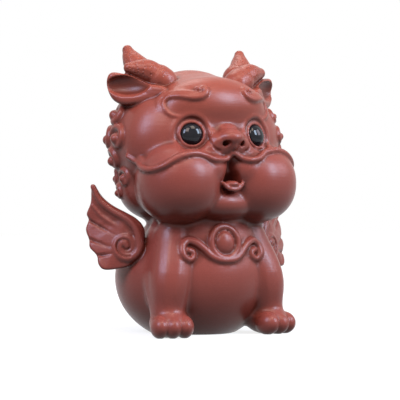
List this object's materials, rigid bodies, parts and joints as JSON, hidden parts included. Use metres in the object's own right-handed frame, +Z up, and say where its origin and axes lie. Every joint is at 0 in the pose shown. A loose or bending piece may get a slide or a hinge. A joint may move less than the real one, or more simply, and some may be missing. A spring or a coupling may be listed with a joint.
{
  "type": "seated winged lion tea pet",
  "caption": "Small seated winged lion figure of fired purple clay, hollow, with a vent hole in its flat foot and black glass dome eyes.",
  "frame": {"origin": "on the flat foot, below the middle of the head, between the vent hole and the front paws", "axes": "+Z up, the figure faces -Y and its own left is +X"},
  "size_m": [0.0824, 0.0586, 0.1025],
  "materials": {
    "clay": "burnished unglazed purple clay with a soft satin sheen",
    "eye_glass": "polished opaque black glass"
  },
  "bodies": {
    "root": {"clay_lion": "clay", "left_eye": "eye_glass", "right_eye": "eye_glass"}
  },
  "joints": []
}
